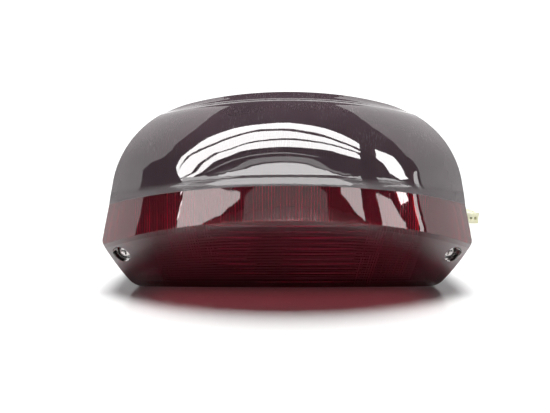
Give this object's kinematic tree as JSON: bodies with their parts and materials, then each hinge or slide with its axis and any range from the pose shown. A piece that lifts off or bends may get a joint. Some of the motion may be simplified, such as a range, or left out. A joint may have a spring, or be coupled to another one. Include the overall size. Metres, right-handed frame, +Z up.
{
  "type": "tail light",
  "caption": "Rounded one-piece red lens with a front ridge on a black housing, bayonet bulbs inside, rear mounting studs and a short lead with a plug.",
  "frame": {"origin": "centre of the object's box on the surface that it stands on, the lead left out", "axes": "+X across the light, to the right as seen from in front of the lens; +Y from the lens to the mounting studs; +Z up"},
  "size_m": [0.3193, 0.2992, 0.1226],
  "materials": {
    "red_lens": "gloss",
    "seal_rubber": "matt",
    "black_housing": "satin",
    "reflector_metal": "mirror",
    "mask_plastic": "matt",
    "screw_steel": "bright",
    "zinc_steel": "satin",
    "splice_plastic": "satin",
    "lead_sheath": "satin",
    "wire_insulation": "satin",
    "connector_nylon": "satin",
    "terminal_tin": "bright",
    "bulb_glass": "gloss",
    "cap_brass": "bright",
    "filament_wire": "satin",
    "solder": "bright",
    "socket_steel": "satin",
    "carrier_board": "matt"
  },
  "bodies": {
    "light": {"lens": "red_lens", "lens_gasket": "seal_rubber", "housing": "black_housing", "reflector": "reflector_metal", "upper_mask": "mask_plastic", "lens_screws": "screw_steel", "lens_screw_washers": "screw_steel", "reflector_screws": "zinc_steel", "mounting_studs": "zinc_steel", "socket_rivets": "zinc_steel", "splice_block": "splice_plastic", "wire_clips": "splice_plastic", "lead_grommet": "seal_rubber", "harness_lead": "lead_sheath", "lead_wires": "wire_insulation", "connector_housing": "connector_nylon", "connector_terminals": "terminal_tin", "socket_shell_left": "socket_steel", "contact_spring_left": "filament_wire", "inner_wires_left": "wire_insulation", "socket_shell_right": "socket_steel", "contact_spring_right": "filament_wire", "inner_wires_right": "wire_insulation"},
    "bulb_left": {"bulb_glass_left": "bulb_glass", "bulb_cap_left": "cap_brass", "bulb_filaments_left": "filament_wire", "bulb_contacts_left": "solder"},
    "contact_left": {"contact_carrier_left": "carrier_board", "contact_pins_left": "cap_brass"},
    "bulb_right": {"bulb_glass_right": "bulb_glass", "bulb_cap_right": "cap_brass", "bulb_filaments_right": "filament_wire", "bulb_contacts_right": "solder"},
    "contact_right": {"contact_carrier_right": "carrier_board", "contact_pins_right": "cap_brass"}
  },
  "joints": [
    {"name": "bulb_left_push", "type": "slide", "parent": "light", "child": "bulb_left", "axis": [0, 1, 0], "range_m": [0, 0.002], "stiffness_N_per_m": 2500, "springref_m": -0.003},
    {"name": "contact_left_travel", "type": "slide", "parent": "light", "child": "contact_left", "axis": [0, 1, 0], "range_m": [0, 0.002]},
    {"name": "bulb_right_push", "type": "slide", "parent": "light", "child": "bulb_right", "axis": [0, 1, 0], "range_m": [0, 0.002], "stiffness_N_per_m": 2500, "springref_m": -0.003},
    {"name": "contact_right_travel", "type": "slide", "parent": "light", "child": "contact_right", "axis": [0, 1, 0], "range_m": [0, 0.002]}
  ],
  "couplings": [
    {"joint": "contact_left_travel", "follows": "bulb_left_push", "ratio": 1},
    {"joint": "contact_right_travel", "follows": "bulb_right_push", "ratio": 1}
  ]
}
